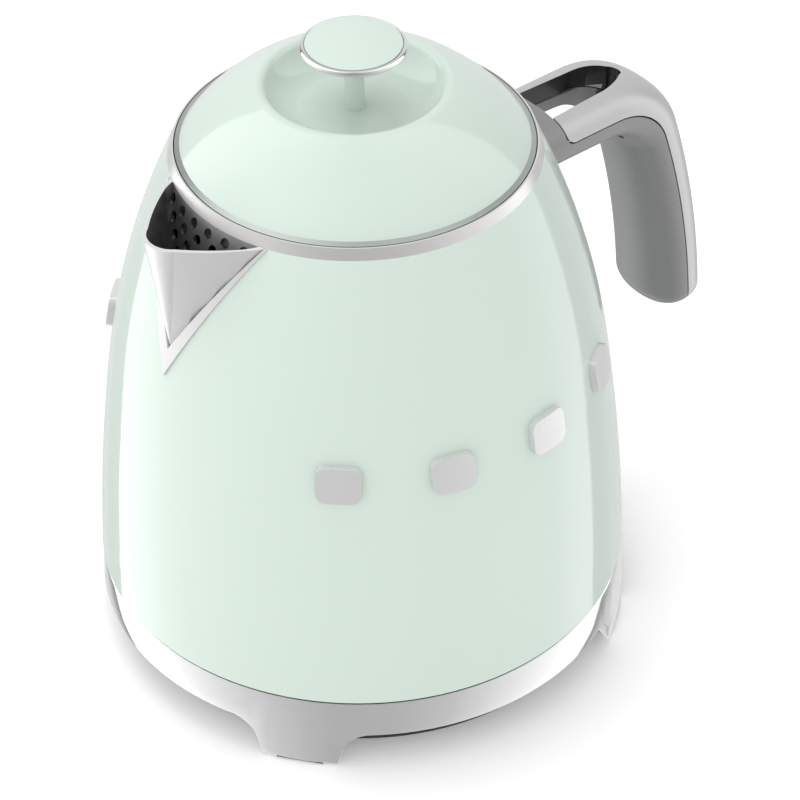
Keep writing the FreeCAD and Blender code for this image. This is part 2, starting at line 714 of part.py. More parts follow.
# ---------------------------------------------------------------- spout
def spout_section(share, inset):
    """Height and plan outline of the spout at a share of its height, closed behind the shell's face.

    The corners lie on the shell along the frame's V. The nose runs straight from the lip to the
    V's point.
    """
    low = inner_tip_height() + inset * RISE_INSET
    neck = size.shell_neck_height.number
    height = low + (neck - low) * share
    side = (inner_half().number - inset * SIDE_INSET) * share
    root = math.sqrt(shell_radius(min(height, neck)) ** 2 - side ** 2)
    back = size.spout_root_depth.number - root
    nose = (size.spout_nose_radius - inset) * share
    half = (size.spout_nose_half - inset * NOSE_INSET) * share
    sag = nose.number - math.sqrt(nose.number ** 2 - half.number ** 2)
    foot = shell_radius(low) - size.spout_tip_overlap.number - inset * TIP_INSET
    end = foot + (size.spout_reach - inset - foot) * share - sag
    curve = (size.spout_side_curve * share, -1)
    points = [
        (-end, half), (-end, -half), (-root, -side), (back, -side), (back, side), (-root, side),
    ]
    return height, points, {0: (nose, -1), 1: curve, 5: curve}


def spout_cone(name, inset, top_share):
    """The spout's solid form, from a little above or at its lip down to the V's point on the shell."""
    sections = []
    for share in (top_share, *SPOUT_SHARES):
        height, points, arcs = spout_section(share, inset)
        body = doc.addObject("PartDesign::Body", f"{name}_body_{len(sections)}")
        outline = sketch_on(body, "XY_Plane", f"{name}_section_{len(sections)}", height)
        sections.append(draw(outline, points, arcs))
    low = inner_tip_height() + inset * RISE_INSET
    apex = doc.addObject("Part::Vertex", name + "_apex")
    bind(apex, X=-(shell_radius(low) - size.spout_tip_overlap.number - inset * TIP_INSET), Z=low)
    doc.recompute()
    loft = doc.addObject("Part::Loft", name + "_loft")
    loft.Sections = sections + [apex]
    loft.Solid = True
    loft.Ruled = True
    return loft


def vee(name, low, half):
    """A wedge running out along -X: it starts at a low point and is 2 x half wide at the neck."""
    reach = size.shell_neck_height - low
    grow = 1 + 5.0 / reach
    return padded(name, "YZ_Plane", [
        (0, low), (half * grow, low + reach * grow), (-half * grow, low + reach * grow),
    ],
                  size.spout_reach + 12, -(size.spout_reach + 12))


def inner_half():
    """Half width of the frame's opening at the neck."""
    return size.spout_half_width - size.flange_top_width


def inner_tip_height():
    """Lowest point of the frame's opening: the frame is as wide at its point as at its sides."""
    slope = size.spout_half_width.number / (size.shell_neck_height - size.spout_foot_height).number
    return size.spout_foot_height.number + size.flange_width.number / math.sin(math.atan(slope))


def make_spout(inside):
    layer = common("frame_layer", band("frame_band", 0, size.flange_rise),
                   vee("frame_outer_vee", size.spout_foot_height, size.spout_half_width))
    node(cut("frame_done", layer, vee("frame_inner_vee", inner_tip_height(), inner_half())), "spout_frame")
    outside = cut("spout_outside", spout_cone("spout_outer", 0, 1.0), inside)
    node(cut("spout_done", outside, spout_cone("spout_inner", size.spout_wall.number, 1.15)), "spout")


def perforations():
    """Staggered rows drilled along X through the wall, as wide as the V leaves room for."""
    tools = []
    slope = inner_half().number / (size.shell_neck_height.number - inner_tip_height())
    for row in range(HOLE_ROWS):
        height = size.hole_top - size.hole_row_pitch * row
        edge = size.hole_diameter.number / 2 + size.hole_margin.number
        room = (height.number - inner_tip_height()) * slope - edge
        shift = 0.5 if row % 2 == 0 else 0.0
        reach = int(room / size.hole_pitch.number + shift) + 1
        for column in range(-reach, reach + 1):
            across = size.hole_pitch * (column + shift)
            if abs(across.number) > room:
                continue
            place = (-size.spout_reach, across, height)
            name = f"hole_{row}_{column + reach}"
            tools.append(rod(name, size.hole_diameter / 2, size.spout_reach - 30, place, (1, 0, 0)))
    return tools


# ---------------------------------------------------------------- handle
def grip_centre():
    """Centre of the grip's long curve, which runs on smoothly from the bend."""
    lean = math.radians(size.handle_lean.number)
    reach = size.grip_curve - size.handle_bend_curve
    across = size.handle_bend_place - reach * math.cos(lean)
    up = size.arm_top - size.handle_bend_curve - reach * math.sin(lean)
    return across, up


def grip_face(depth, height):
    """Distance from the axis of a face at a depth under the grip's outer face."""
    across, up = grip_centre()
    radius = size.grip_curve.number - float(depth)
    return across.number + math.sqrt(radius ** 2 - (float(height) - up.number) ** 2)


def bend_points(depth_arm, depth_grip, curve):
    """Start and end of the bend that joins an arm face to a grip face at given depths."""
    across, up = grip_centre()
    level = size.arm_top.number - float(depth_arm) - float(curve)
    reach = size.grip_curve.number - float(depth_grip) - float(curve)
    rise = level - up.number
    start = across.number + math.sqrt(reach ** 2 - rise ** 2)
    far = (reach + float(curve)) / reach
    return (start, size.arm_top - depth_arm), (across + (start - across.number) * far, up + rise * far)


def handle_form():
    """The whole handle before it is parted along its seam."""
    width = size.handle_width
    outer_start, outer_end = bend_points(0, 0, size.handle_bend_curve)
    inner_start, inner_end = bend_points(size.arm_depth, size.grip_depth, size.inner_bend_curve)
    low = size.grip_end
    root = shell_radius(size.arm_top - size.arm_depth) - 14
    points = [
        (root, size.arm_top), outer_start, outer_end, (grip_face(0, low), low),
        (grip_face(size.grip_depth, low), low), inner_end, inner_start, (
            root, size.arm_top - size.arm_depth,
        ),
    ]
    end_curve = (grip_face(0, low) - grip_face(size.grip_depth, low)) / 2 + 0.05
    body = padded("handle_form", "XZ_Plane", points, width, -width / 2, {
        1: (size.handle_bend_curve, 1), 2: (size.grip_curve, 1), 3: (end_curve, 1),
        4: (size.grip_curve - size.grip_depth, -1), 5: (size.inner_bend_curve, -1),
    })
    nose = size.fork_nose_radius - 0.05
    taper = (size.fork_taper_curve, -1)
    slot = sketch_on(body, "XY_Plane", "fork_outline", size.arm_top - 30)
    half_root = size.handle_width / 2 - size.fork_wall_root
    half_taper = size.handle_width / 2 - size.fork_wall_taper
    draw(slot, [
        (size.fork_start, -half_root), (size.fork_taper, -half_taper),
        (size.fork_nose, -nose), (size.fork_nose, nose),
        (size.fork_taper, half_taper), (size.fork_start, half_root),
    ], {1: taper, 2: (size.fork_nose_radius, -1), 3: taper})
    pocket = body.newObject("PartDesign::Pocket", "fork_pocket")
    pocket.Profile = slot
    pocket.Reversed = True
    pocket.Length = 60
    doc.recompute()
    half = width.number / 2
    long_edges = []
    for number, edge in enumerate(pocket.Shape.Edges, start=1):
        ends = [vertex.Point for vertex in edge.Vertexes]
        on_side = all(abs(abs(point.y) - half) < 1e-4 for point in ends) and ends[0].y * ends[-1].y > 0
        on_root = all(abs(point.x - root) < 1e-4 for point in ends)
        if on_side and not on_root:
            long_edges.append(f"Edge{number}")
    fillet = rounded("handle_rounding", body, pocket, long_edges, size.handle_edge)
    doc.recompute()
    body.Tip = fillet
    return body


def cover_region(name, gap):
    """The space of the polished cover: above the seam and outside it."""
    depth_arm = size.seam_depth - gap
    depth_grip = size.seam_grip_depth - gap
    start, end = bend_points(depth_arm, depth_grip, size.seam_bend_curve)
    low = size.grip_end - 20
    far = size.handle_bend_place + 80
    corner = 3.0
    return padded(name, "XZ_Plane", [
        (size.fork_start + gap, size.arm_top + 20), (far, size.arm_top + 20), (far, low),
        (grip_face(depth_grip, low), low), end, start,
        (size.fork_start + gap + corner, size.arm_top - depth_arm),
        (size.fork_start + gap, size.arm_top - depth_arm + corner),
    ], size.handle_width + 4, -(size.handle_width / 2 + 2), {
        3: (size.grip_curve - depth_grip, -1), 4: (size.seam_bend_curve, -1), 6: (corner, 1),
    })


def make_handle(inside):
    form = handle_form()
    level = size.arm_top - size.arm_depth / 2
    start = size.fork_start.number
    inserts = []
    cover_rooms = []
    grip_rooms = []
    screws = []
    seals = []
    shell_holes = []
    for side in (-1, 1):
        across = (size.handle_width / 2 - size.insert_margin) * side
        wall_x = math.sqrt(shell_radius(level + 4.2) ** 2 - across.number ** 2) - size.shell_wall.number
        head_x = wall_x - 3.6
        sleeve = rod(
            f"insert_sleeve_{side + 1}", size.insert_radius, size.insert_length,
            (start + size.insert_start, across, level), (1, 0, 0),
        )
        thread = rod(f"insert_thread_{side + 1}", size.shank_radius, 12.0, (start, across, level), (1, 0, 0))
        inserts.append(cut(f"insert_{side + 1}", sleeve, thread))
        for part, rooms in (("cover", cover_rooms), ("grip", grip_rooms)):
            rooms.append(
                rod(
                    f"{part}_insert_room_{side + 1}", size.insert_radius, size.insert_length,
                    (start + size.insert_start, across, level), (1, 0, 0),
                ),
            )
            rooms.append(
                rod(f"{part}_screw_room_{side + 1}", 1.4, 40.0, (start - 30, across, level), (1, 0, 0)),
            )
        head = rod(f"handle_head_{side + 1}", 2.8, 2.0, (head_x - 2, across, level), (1, 0, 0))
        shank = rod(f"handle_shank_{side + 1}", 1.3, start + 7 - head_x, (head_x, across, level), (1, 0, 0))
        screws.append(fuse(f"handle_screw_{side + 1}", head, shank))
        pad = rod(
            f"handle_seal_pad_{side + 1}", 3.6, wall_x - head_x - 0.3, (head_x, across, level), (1, 0, 0),
        )
        pad_hole = rod(f"handle_seal_hole_{side + 1}", size.shank_radius, 9.0, (head_x - 1, across, level), (1, 0, 0))
        seals.append(cut(f"handle_seal_{side + 1}", pad, pad_hole))
        shell_holes.append(
            rod(f"shell_screw_hole_{side + 1}", 1.5, 20.0, (head_x, across, level), (1, 0, 0)),
        )
    cover = common("cover_form", form, cover_region("cover_space", size.seam_gap / 2))
    grip = cut("grip_form", form, cover_region("grip_space", -size.seam_gap / 2), inside)
    node(cut("handle_cover_done", cover, *cover_rooms), "handle_cover")
    node(cut("handle_grip_done", grip, *grip_rooms), "handle_grip")
    node(group("insert_set", inserts), "handle_inserts")
    node(group("handle_screw_set", screws), "handle_screws")
    node(group("handle_seal_set", seals), "handle_seals")
    return shell_holes


# ---------------------------------------------------------------- shell with its openings
def window_prism(name, grow):
    half = size.window_width / 2 + grow
    low = size.window_low - grow
    high = size.window_high + grow
    corner = half - 1.0
    return padded(name, "YZ_Plane", [
        (-half, low + corner), (-half + corner, low), (half - corner, low), (half, low + corner),
        (half, high - corner), (half - corner, high), (-half + corner, high), (-half, high - corner),
    ], size.shell_foot_radius + 20, None, {
        0: (corner, -1), 2: (corner, -1), 4: (corner, -1), 6: (corner, -1),
    })


def make_shell(openings):
    hole = window_prism("window_opening", size.window_seal)
    plain = band("shell_sheet", -size.shell_wall, 0)
    node(cut("shell_done", plain, hole, *openings), "body_shell")
    layer = band("window_layer", -(size.shell_wall + 0.6), 0.4)
    lens = common("window_lens", layer, window_prism("window_core", 0))
    node(lens, "water_window")
    seal_layer = band("window_seal_layer", -(size.shell_wall + 0.9), 0.7)
    ring = cut("window_ring", window_prism("window_ring_outer", size.window_seal),
               window_prism("window_ring_inner", 0))
    node(common("window_seal_done", seal_layer, ring), "window_seal")


def make_collar():
    neck = size.shell_neck_radius
    edge = size.shell_neck_height
    rim = edge + size.collar_rise
    ledge = rim - size.ledge_depth
    inner = neck - size.shell_wall
    node(turned("collar_body", [
        (size.opening_radius, rim), (size.opening_radius + 0.5, rim), (neck, edge), (inner, edge),
        (inner - 0.05, edge - 0.6), (inner - 0.05, ledge - size.ledge_thickness),
        (size.ledge_radius, ledge - size.ledge_thickness), (size.ledge_radius, ledge),
        (size.opening_radius, ledge),
    ]), "collar_ring")
    return rim, ledge


def make_studs():
    layer = band("stud_layer", 0, size.stud_rise)
    half = size.stud_width / 2
    tall = size.stud_tall / 2
    corner = 2.5
    low = size.stud_height - tall
    high = size.stud_height + tall
    studs = []
    for number in range(8):
        side = 1 if number < 4 else -1
        angle = side * (size.stud_middle.number + (number % 4 - 1.5) * size.stud_step.number)
        prism = padded(f"stud_prism_{number}", "YZ_Plane", [
            (-half, low + corner), (-half + corner, low), (half - corner, low), (half, low + corner),
            (half, high - corner), (half - corner, high), (-half + corner, high), (-half, high - corner),
        ], size.shell_foot_radius + 20, None, {
            0: (corner, -1), 2: (corner, -1), 4: (corner, -1), 6: (corner, -1),
        })
        studs.append(common(f"stud_{number}", layer, turned_place(prism, angle)))
    node(group("stud_set", studs), "trim_studs")


# ---------------------------------------------------------------- limescale filter
def make_filter(inside):
    face = size.filter_place
    half = size.filter_half_width
    foot = size.filter_foot
    top = size.filter_top
    low = foot - 2.4
    frame = block("filter_plate", (-face, -half, low), (-face + 2.2, half, top))
    hole = block("filter_hole", (-face - 1, -(half - 2.6), foot + 3.6), (-face + 4, half - 2.6, top - 2.6))
    pin_hole = rod("filter_pin_hole", 1.15, half * 2 + 4, (-face + 1.1, -(half + 2), foot), (0, 1, 0))
    barrel = rod("filter_barrel", 2.4, half * 2, (-face + 1.1, -half, foot), (0, 1, 0))
    node(cut("filter_frame_done", fuse("filter_solid", frame, barrel), hole, pin_hole), "filter_frame")
    node(block(
        "filter_sheet", (-face + 0.9, -(half - 2.6), foot + 3.6), (-face + 1.3, half - 2.6, top - 2.6),
    ),
         "filter_mesh")
    node(
        rod("filter_rod", 0.95, half * 2 + 2.8, (-face + 1.1, -(half + 1.4), foot), (0, 1, 0)), "filter_pin",
    )
    cheeks = []
    for side in (-1, 1):
        near = half + size.running_gap if side > 0 else -(half + size.running_gap + 1.2)
        cheek = block(
            f"filter_cheek_{side + 1}", (-face - 30, near, foot - 3), (-face + 3.4, near + 1.2, foot + 3),
        )
        bore = rod(
            f"filter_cheek_bore_{side + 1}", 0.95, half * 4, (-face + 1.1, -(half * 2), foot), (0, 1, 0),
        )
        cheeks.append(common(f"filter_holder_{side + 1}", cut(f"cheek_{side + 1}", cheek, bore), inside))
    node(group("filter_cheeks", cheeks), "filter_holder")


# ---------------------------------------------------------------- lid
def make_lid(rim, ledge):
    gap = size.running_gap
    outside = size.opening_radius - gap
    edge = outside - size.lid_edge_wall
    crest = rim + 0.6
    seat = ledge + gap
    ring_low = seat + 1.8
    node(turned("lid_ring", [
        (edge - 0.6, crest - 1.6), (edge, crest - 1.0), (edge, crest), (outside, rim), (outside, ring_low),
        (size.ledge_radius - 1, ring_low), (size.ledge_radius - 1, ring_low + 1.4), (
            edge - 0.6, ring_low + 1.4,
        ),
    ]), "lid_edge_ring")
    node(turned("gasket_ring", [
        (size.ledge_radius + 0.4, seat), (outside, seat), (outside + 0.15, seat + 0.9), (outside, ring_low),
        (size.ledge_radius + 0.4, ring_low),
    ]), "lid_gasket")
    node(turned("liner_disc", [
        (0, ring_low + 1.4), (edge - 0.8, ring_low + 1.4), (edge - 0.8, ring_low + 2.6), (0, ring_low + 2.6),
    ]), "lid_liner")

    rim_top = crest + size.dome_rim_rise
    floor = rim_top - size.dish_depth + 0.6
    lip_in = size.dome_rim_radius - 3.0
    upper = [
        (edge, crest), (size.dome_rim_radius, rim_top), (lip_in, rim_top - 0.7),
        (size.dish_floor_radius, floor + 0.4), (0, floor),
    ]
    lower = [(across, up - size.dome_sheet) for across, up in upper][::-1]
    dish_curve = 12.0
    floor_curve = size.dish_floor_radius * size.dish_floor_radius / 0.8
    node(cut("dome_done", turned("dome_body", upper + lower, {
        0: (size.dome_curve, -1), 1: (2.3, -1), 2: (dish_curve, 1), 3: (floor_curve, 1),
        5: (floor_curve, -1), 6: (dish_curve, -1), 7: (2.3, 1), 8: (size.dome_curve, 1),
    }), rod("knob_hole", 1.3, 10.0, (0, 0, floor - 5))), "lid_dome")

    knob = floor + size.knob_rise
    stem = doc.addObject("Part::Cone", "stem_cone")
    bind(stem, Radius1=size.stem_foot_radius, Radius2=size.stem_top_radius, Height=size.knob_rise - 1.6)
    bind(stem, Placement__Base__z=floor)
    screw_top = floor + 10
    screw_room = rod("stem_bore", 1.1, 10.0, (0, 0, floor))
    node(cut("stem_done", stem, screw_room), "knob_stem")
    washer_low = floor - size.dome_sheet - 0.8
    washer = rod("washer_disc", 4.0, 0.8, (0, 0, washer_low))
    node(cut("washer_done", washer, rod("washer_hole", 1.1, 3.0, (0, 0, washer_low - 1))), "knob_washer")
    head = rod("knob_screw_head", 2.2, 1.5, (0, 0, washer_low - 1.5))
    shank = rod("knob_screw_shank", 1.1, screw_top - washer_low, (0, 0, washer_low))
    node(fuse("knob_screw_done", head, shank), "knob_screw")

    rim_radius = size.knob_radius
    inlay = rim_radius - size.knob_rim
    node(turned("knob_ring_body", [
        (0, knob - 1.6), (5.0, knob - 1.6), (rim_radius - 1.6, knob - 1.0), (rim_radius, knob + 0.2),
        (rim_radius - 0.9, knob + 1.1), (inlay + 0.25, knob + 1.1), (inlay + 0.25, knob + 0.5), (
            0, knob + 0.5,
        ),
    ], {2: (1.9, -1), 3: (1.0, -1)}), "knob_ring")
    crown = size.knob_crown
    crown_curve = (inlay * inlay + crown * crown) / (2 * crown)
    node(turned("knob_cap_body", [
        (0, knob + 0.5), (inlay, knob + 0.5), (inlay, knob + 1.3), (0, knob + 1.3 + crown),
    ], {2: (crown_curve, -1)}), "knob_cap")


# ---------------------------------------------------------------- the whole kettle
inside_space = filled_shell("inside_space")
deck_height, post_height = make_base()
make_underside(post_height)
make_steam_path()
switch_opening = make_switch()
make_spout(inside_space)
screw_holes = make_handle(inside_space)
make_shell([switch_opening] + screw_holes + perforations())
collar_rim, collar_ledge = make_collar()
make_studs()
cavity = band("cavity_limit", -size.shell_foot_radius / 2, -size.shell_wall)
make_filter(cavity)
make_lid(collar_rim, collar_ledge)

doc.recompute()
faults = [item.Name for item in doc.Objects if "Invalid" in item.State or "Error" in item.State]
if faults:
    raise SystemExit(f"features that failed: {faults}")
for item in nodes:
    if item.Shape.isNull() or not item.Shape.isValid() or not item.Shape.Solids:
        raise SystemExit(f"{item.Label} has no valid solid")
for item in nodes:
    item.Shape.exportStep(f"parts/{item.Label}.step")
    print(f"{item.Label:18s} solids {len(item.Shape.Solids):2d}  volume {item.Shape.Volume / 1000:9.2f} cm3")
print(f"{len(nodes)} pieces written")
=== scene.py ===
# %% [markdown]
# # A compact electric kettle, dressed for a studio picture
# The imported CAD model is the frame: every piece, joint and size comes from it, in metres, with +Z up.
# This notebook adds what CAD leaves out, which is how the surfaces look. It also swaps a plain CAD piece for
# a finer mesh wherever a curve has to carry a clean reflection.

# %% Load the frame
import math

import bmesh
import bpy
from mathutils import Matrix, Vector


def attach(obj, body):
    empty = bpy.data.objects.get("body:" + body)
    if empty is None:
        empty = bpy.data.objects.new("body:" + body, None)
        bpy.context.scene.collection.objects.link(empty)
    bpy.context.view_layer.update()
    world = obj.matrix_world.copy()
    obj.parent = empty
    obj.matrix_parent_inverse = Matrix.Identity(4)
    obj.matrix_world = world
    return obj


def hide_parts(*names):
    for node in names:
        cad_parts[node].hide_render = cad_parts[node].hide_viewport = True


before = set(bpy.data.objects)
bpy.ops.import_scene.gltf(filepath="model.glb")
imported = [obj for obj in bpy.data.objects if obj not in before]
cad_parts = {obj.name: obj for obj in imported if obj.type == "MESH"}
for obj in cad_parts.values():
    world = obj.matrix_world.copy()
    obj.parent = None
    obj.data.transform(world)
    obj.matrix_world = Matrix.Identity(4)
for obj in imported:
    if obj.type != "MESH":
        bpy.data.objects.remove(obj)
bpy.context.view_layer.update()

print("pieces in the frame:", len(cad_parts))

# %% [markdown]
# ## The camera
# The kettle is seen from above the spout side with a long lens, which keeps the upright lines nearly
# parallel.
# The lens stands on a sphere round the standing point: a distance, a compass angle and a height angle place
# it, and the point it looks at lies inside the body. A long lens from far away was chosen over a wide one
# from near by, because a wide lens would swell the lid.

# %% Camera
CAMERA_DISTANCE = 0.898
CAMERA_AZIMUTH = math.radians(-128)
CAMERA_HEIGHT = math.radians(42.908)
CAMERA_ROLL = math.radians(-0.45)
LOOK_AT = Vector((0.0071, -0.0088, 0.0700))

lens = bpy.data.cameras.new("studio_camera")
lens.lens = 138.0
lens.sensor_width = 36.0
lens.clip_start = 0.05
lens.clip_end = 50.0
camera = bpy.data.objects.new("studio_camera", lens)
bpy.context.scene.collection.objects.link(camera)
camera.location = CAMERA_DISTANCE * Vector((
    math.cos(CAMERA_HEIGHT) * math.cos(CAMERA_AZIMUTH),
    math.cos(CAMERA_HEIGHT) * math.sin(CAMERA_AZIMUTH),
    math.sin(CAMERA_HEIGHT),
))
aim = (LOOK_AT - camera.location).to_track_quat("-Z", "Y").to_matrix()
camera.rotation_euler = (aim @ Matrix.Rotation(CAMERA_ROLL, 3, "Z")).to_euler()
bpy.context.scene.camera = camera
print("camera at", [round(c, 3) for c in camera.location])

# %% [markdown]
# ## Shader arithmetic
# A finish is worked out from numbers that change over the surface, such as a height, a noise or a mask. In
# Blender each of those numbers is a node's output socket, and each sum needs a Math node. Wrapping the
# socket in a small class lets Python's own signs add those nodes, so a formula reads like a formula.

# %% A socket with Python's arithmetic
class Field:
    """A number that changes over a surface."""

    def __init__(self, tree, socket):
        self.tree = tree
        self.socket = socket

    def maths(self, operation, *values):
        node = self.tree.nodes.new("ShaderNodeMath")
        node.operation = operation
        for socket, value in zip(node.inputs, values):
            feed(self.tree, socket, value)
        return Field(self.tree, node.outputs[0])

    def __add__(self, other): return self.maths("ADD", self, other)
    def __radd__(self, other): return self.maths("ADD", other, self)
    def __sub__(self, other): return self.maths("SUBTRACT", self, other)
    def __rsub__(self, other): return self.maths("SUBTRACT", other, self)
    def __mul__(self, other): return self.maths("MULTIPLY", self, other)
    def __rmul__(self, other): return self.maths("MULTIPLY", other, self)
    def __gt__(self, other): return self.maths("GREATER_THAN", self, other)
    def __lt__(self, other): return self.maths("LESS_THAN", self, other)
    def __abs__(self): return self.maths("ABSOLUTE", self)


def feed(tree, socket, value):
    """Links a field to a socket, or sets the socket to a constant."""
    if isinstance(value, Field):
        tree.links.new(value.socket, socket)
    else:
        socket.default_value = value


# %% A finish: one material and the nodes behind it
# A face counts as inward only past this small value, so a rim that lies level stays on the outer side.
INWARD_EDGE = -0.01


class Finish:
    """A material whose constants sit on the shader and whose changing values are fields."""

    def __init__(self, name, colour, **constants):
        self.material = bpy.data.materials.new(name)
        self.material.use_nodes = True
        self.tree = self.material.node_tree
        self.shader = self.tree.nodes["Principled BSDF"]
        self.set(Base_Color=(*colour, 1.0), **constants)

    def set(self, **values):
        for name, value in values.items():
            feed(self.tree, self.shader.inputs[name.replace("_", " ")], value)

    def add(self, kind, settings=None, output=0, **inputs):
        node = self.tree.nodes.new(kind)
        for name, value in (settings or {}).items():
            setattr(node, name, value)
        for name, value in inputs.items():
            feed(self.tree, node.inputs[name.replace("_", " ")], value)
        return Field(self.tree, node.outputs[output])

    def place(self):
        """The point on the surface, in the piece's own metres."""
        return self.add("ShaderNodeTexCoord", output="Object")

    def noise(self, scale, detail=2.0, stretch=(1, 1, 1)):
        point = self.add("ShaderNodeMapping", Vector=self.place(), Scale=stretch)
        return self.add("ShaderNodeTexNoise", Vector=point, Scale=scale, Detail=detail)

    def blend(self, mask, first, second):
        mix = self.tree.nodes.new("ShaderNodeMix")
        mix.data_type = "RGBA"
        feed(self.tree, mix.inputs["Factor"], mask)
        for socket, colour in ((mix.inputs[6], first), (mix.inputs[7], second)):
            feed(self.tree, socket, colour if isinstance(colour, Field) else (*colour, 1.0))
        return Field(self.tree, mix.outputs[2])

    def inward(self):
        """1 on faces that look towards the kettle's axis, 0 on the rest."""
        place = self.place()
        facing = self.add("ShaderNodeTexCoord", output="Normal")
        total = None
        for axis in (0, 1):
            along = self.add("ShaderNodeSeparateXYZ", output=axis, Vector=place)
            along = along * self.add("ShaderNodeSeparateXYZ", output=axis, Vector=facing)
            total = along if total is None else total + along
        return total < INWARD_EDGE

    def bump(self, height, strength, distance):
        relief = self.add("ShaderNodeBump", Strength=strength, Distance=distance, Height=height)
        self.set(Normal=relief)


print("shader helpers ready")

# %% [markdown]
# ## The studio
# Glossy things show the room more than themselves. The room here is a ring of light that changes only with
# the compass angle: two tall softboxes, one on each side, each fading towards the camera and ending in a
# hard edge towards the back. Real lamps and white cards would do the same, but they would stand in the way
# when the kettle is looked at from another side. The eye itself sees plain white instead of the ring.

# %% Ring of light
RING = [
    (-180, 0.80), (-155, 0.74), (-142, 0.45), (-132, 0.10), (-131, 2.00), (-104, 1.80), (-84, 1.10),
    (-62, 0.78), (-47, 0.62), (-28, 0.46), (-12, 0.38), (12, 0.40), (36, 0.52), (60, 0.80), (87, 1.10),
    (100, 1.50), (117.5, 1.70), (118.5, 0.13), (124, 0.32), (134, 0.60), (143, 0.75), (180, 0.80),
]
BRIGHTEST = 3.0
FILL_LEVEL, FILL_SWING, FILL_TURN = 0.94, 0.33, math.radians(45)

world = bpy.data.worlds.new("studio_world")
bpy.context.scene.world = world
world.use_nodes = True
sky = world.node_tree
sky.nodes.clear()


def sky_node(kind, output=0, **inputs):
    node = sky.nodes.new(kind)
    for name, value in inputs.items():
        feed(sky, node.inputs[name], value)
    return Field(sky, node.outputs[output])


direction = sky_node("ShaderNodeTexCoord", output="Generated")
turn = sky.nodes.new("ShaderNodeVectorRotate")
turn.rotation_type = "Z_AXIS"
turn.inputs["Angle"].default_value = -CAMERA_AZIMUTH
feed(sky, turn.inputs["Vector"], direction)
split = sky.nodes.new("ShaderNodeSeparateXYZ")
feed(sky, split.inputs[0], Field(sky, turn.outputs[0]))
towards, right = Field(sky, split.outputs[0]), Field(sky, split.outputs[1])
compass = right.maths("ARCTAN2", right, towards) * (1 / math.tau) + 0.5
ring = sky.nodes.new("ShaderNodeFloatCurve")
curve = ring.mapping.curves[0]
for angle, level in RING[1:-1]:
    curve.points.new(angle / 360 + 0.5, level / BRIGHTEST)
curve.points[0].location = (0, RING[0][1] / BRIGHTEST)
curve.points[-1].location = (1, RING[-1][1] / BRIGHTEST)
for point in curve.points:
    point.handle_type = "VECTOR"
ring.mapping.update()
feed(sky, ring.inputs["Value"], compass)
level = Field(sky, ring.outputs[0]) * BRIGHTEST
seen = sky_node("ShaderNodeLightPath", output="Is Camera Ray")
soft = sky_node("ShaderNodeLightPath", output="Is Diffuse Ray")
heading = (compass - 0.5) * math.tau + FILL_TURN
fill = heading.maths("COSINE", heading) * FILL_SWING + FILL_LEVEL
strength = (level * (1 - soft) + fill * soft) * (1 - seen) + seen
background = sky.nodes.new("ShaderNodeBackground")
background.inputs["Color"].default_value = (1, 1, 1, 1)
feed(sky, background.inputs["Strength"], strength)
screen = sky.nodes.new("ShaderNodeOutputWorld")
sky.links.new(background.outputs[0], screen.inputs["Surface"])
bpy.context.scene.view_settings.view_transform = "Standard"
print("ring of light with", len(RING), "stops")

# %% Floor and the soft lamp above
FLOOR_RADIUS = 4.0
floor_mesh = bpy.data.meshes.new("studio_floor")
shape = bmesh.new()
bmesh.ops.create_circle(shape, cap_ends=True, segments=96, radius=FLOOR_RADIUS)
shape.to_mesh(floor_mesh)
shape.free()
floor = bpy.data.objects.new("studio_floor", floor_mesh)
bpy.context.scene.collection.objects.link(floor)
floor.visible_glossy = False
paper = Finish("studio_paper", (0.93, 0.93, 0.93), Roughness=0.9)
paper.set(
    Roughness=0.85 + 0.1 * paper.noise(3.0), Emission_Color=(1, 1, 1, 1), Emission_Strength=0.18,
)
floor_mesh.materials.append(paper.material)

lamp = bpy.data.lights.new("overhead_softbox", "AREA")
lamp.shape = "DISK"
lamp.size = 1.5
lamp.energy = 12.0
softbox = bpy.data.objects.new("overhead_softbox", lamp)
bpy.context.scene.collection.objects.link(softbox)
softbox.location = (0.12, 0.72, 1.9)
softbox.rotation_euler = (-softbox.location).to_track_quat("-Z", "Y").to_euler()
softbox.visible_glossy = False
print("floor and overhead softbox placed")

# %% [markdown]
# ## Finishes
# One function for each finish. Coated paint, brushed and polished steel, moulded plastic and rubber differ
# in colour, in how sharp they mirror the room, and in a fine relief: orange peel on paint, lines on brushed
# steel, a matt grain on plastic.

# %% Painted steel
COAT = 0.75
BARE_STEEL = (0.33, 0.33, 0.34)
MOUTH_FOOT, MOUTH_TOP, MOUTH_HALF, MOUTH_FRONT = 0.1105, 0.1534, 0.0207, -0.03


def paint_finish(name, bare_inside):
    """Pastel paint under a clear coat; a shell is left bare inside and behind the spout."""
    paint = Finish(name, (0.60, 0.70, 0.63), Roughness=0.32, Coat_Roughness=0.02, Specular_IOR_Level=0.25)
    peel = paint.noise(420, 2)
    cloud = paint.noise(14, 2)
    colour = paint.blend(cloud, (0.595, 0.695, 0.625), (0.605, 0.705, 0.635))
    coat = COAT
    if bare_inside:
        place = paint.place()
        x = paint.add("ShaderNodeSeparateXYZ", output=0, Vector=place)
        y = paint.add("ShaderNodeSeparateXYZ", output=1, Vector=place)
        z = paint.add("ShaderNodeSeparateXYZ", output=2, Vector=place)
        inward = paint.inward()
        half = (z - MOUTH_FOOT) * (MOUTH_HALF / (MOUTH_TOP - MOUTH_FOOT))
        mouth = (x < MOUTH_FRONT) * (abs(y) < half) * (z > MOUTH_FOOT)
        bare = inward.maths("MAXIMUM", inward, mouth)
        colour = paint.blend(bare, colour, BARE_STEEL)
        coat = (1 - bare) * COAT
        paint.set(Metallic=bare)
    paint.set(Base_Color=colour, Coat_Weight=coat)
    paint.bump(peel, 0.02, 0.0002)
    return paint.material


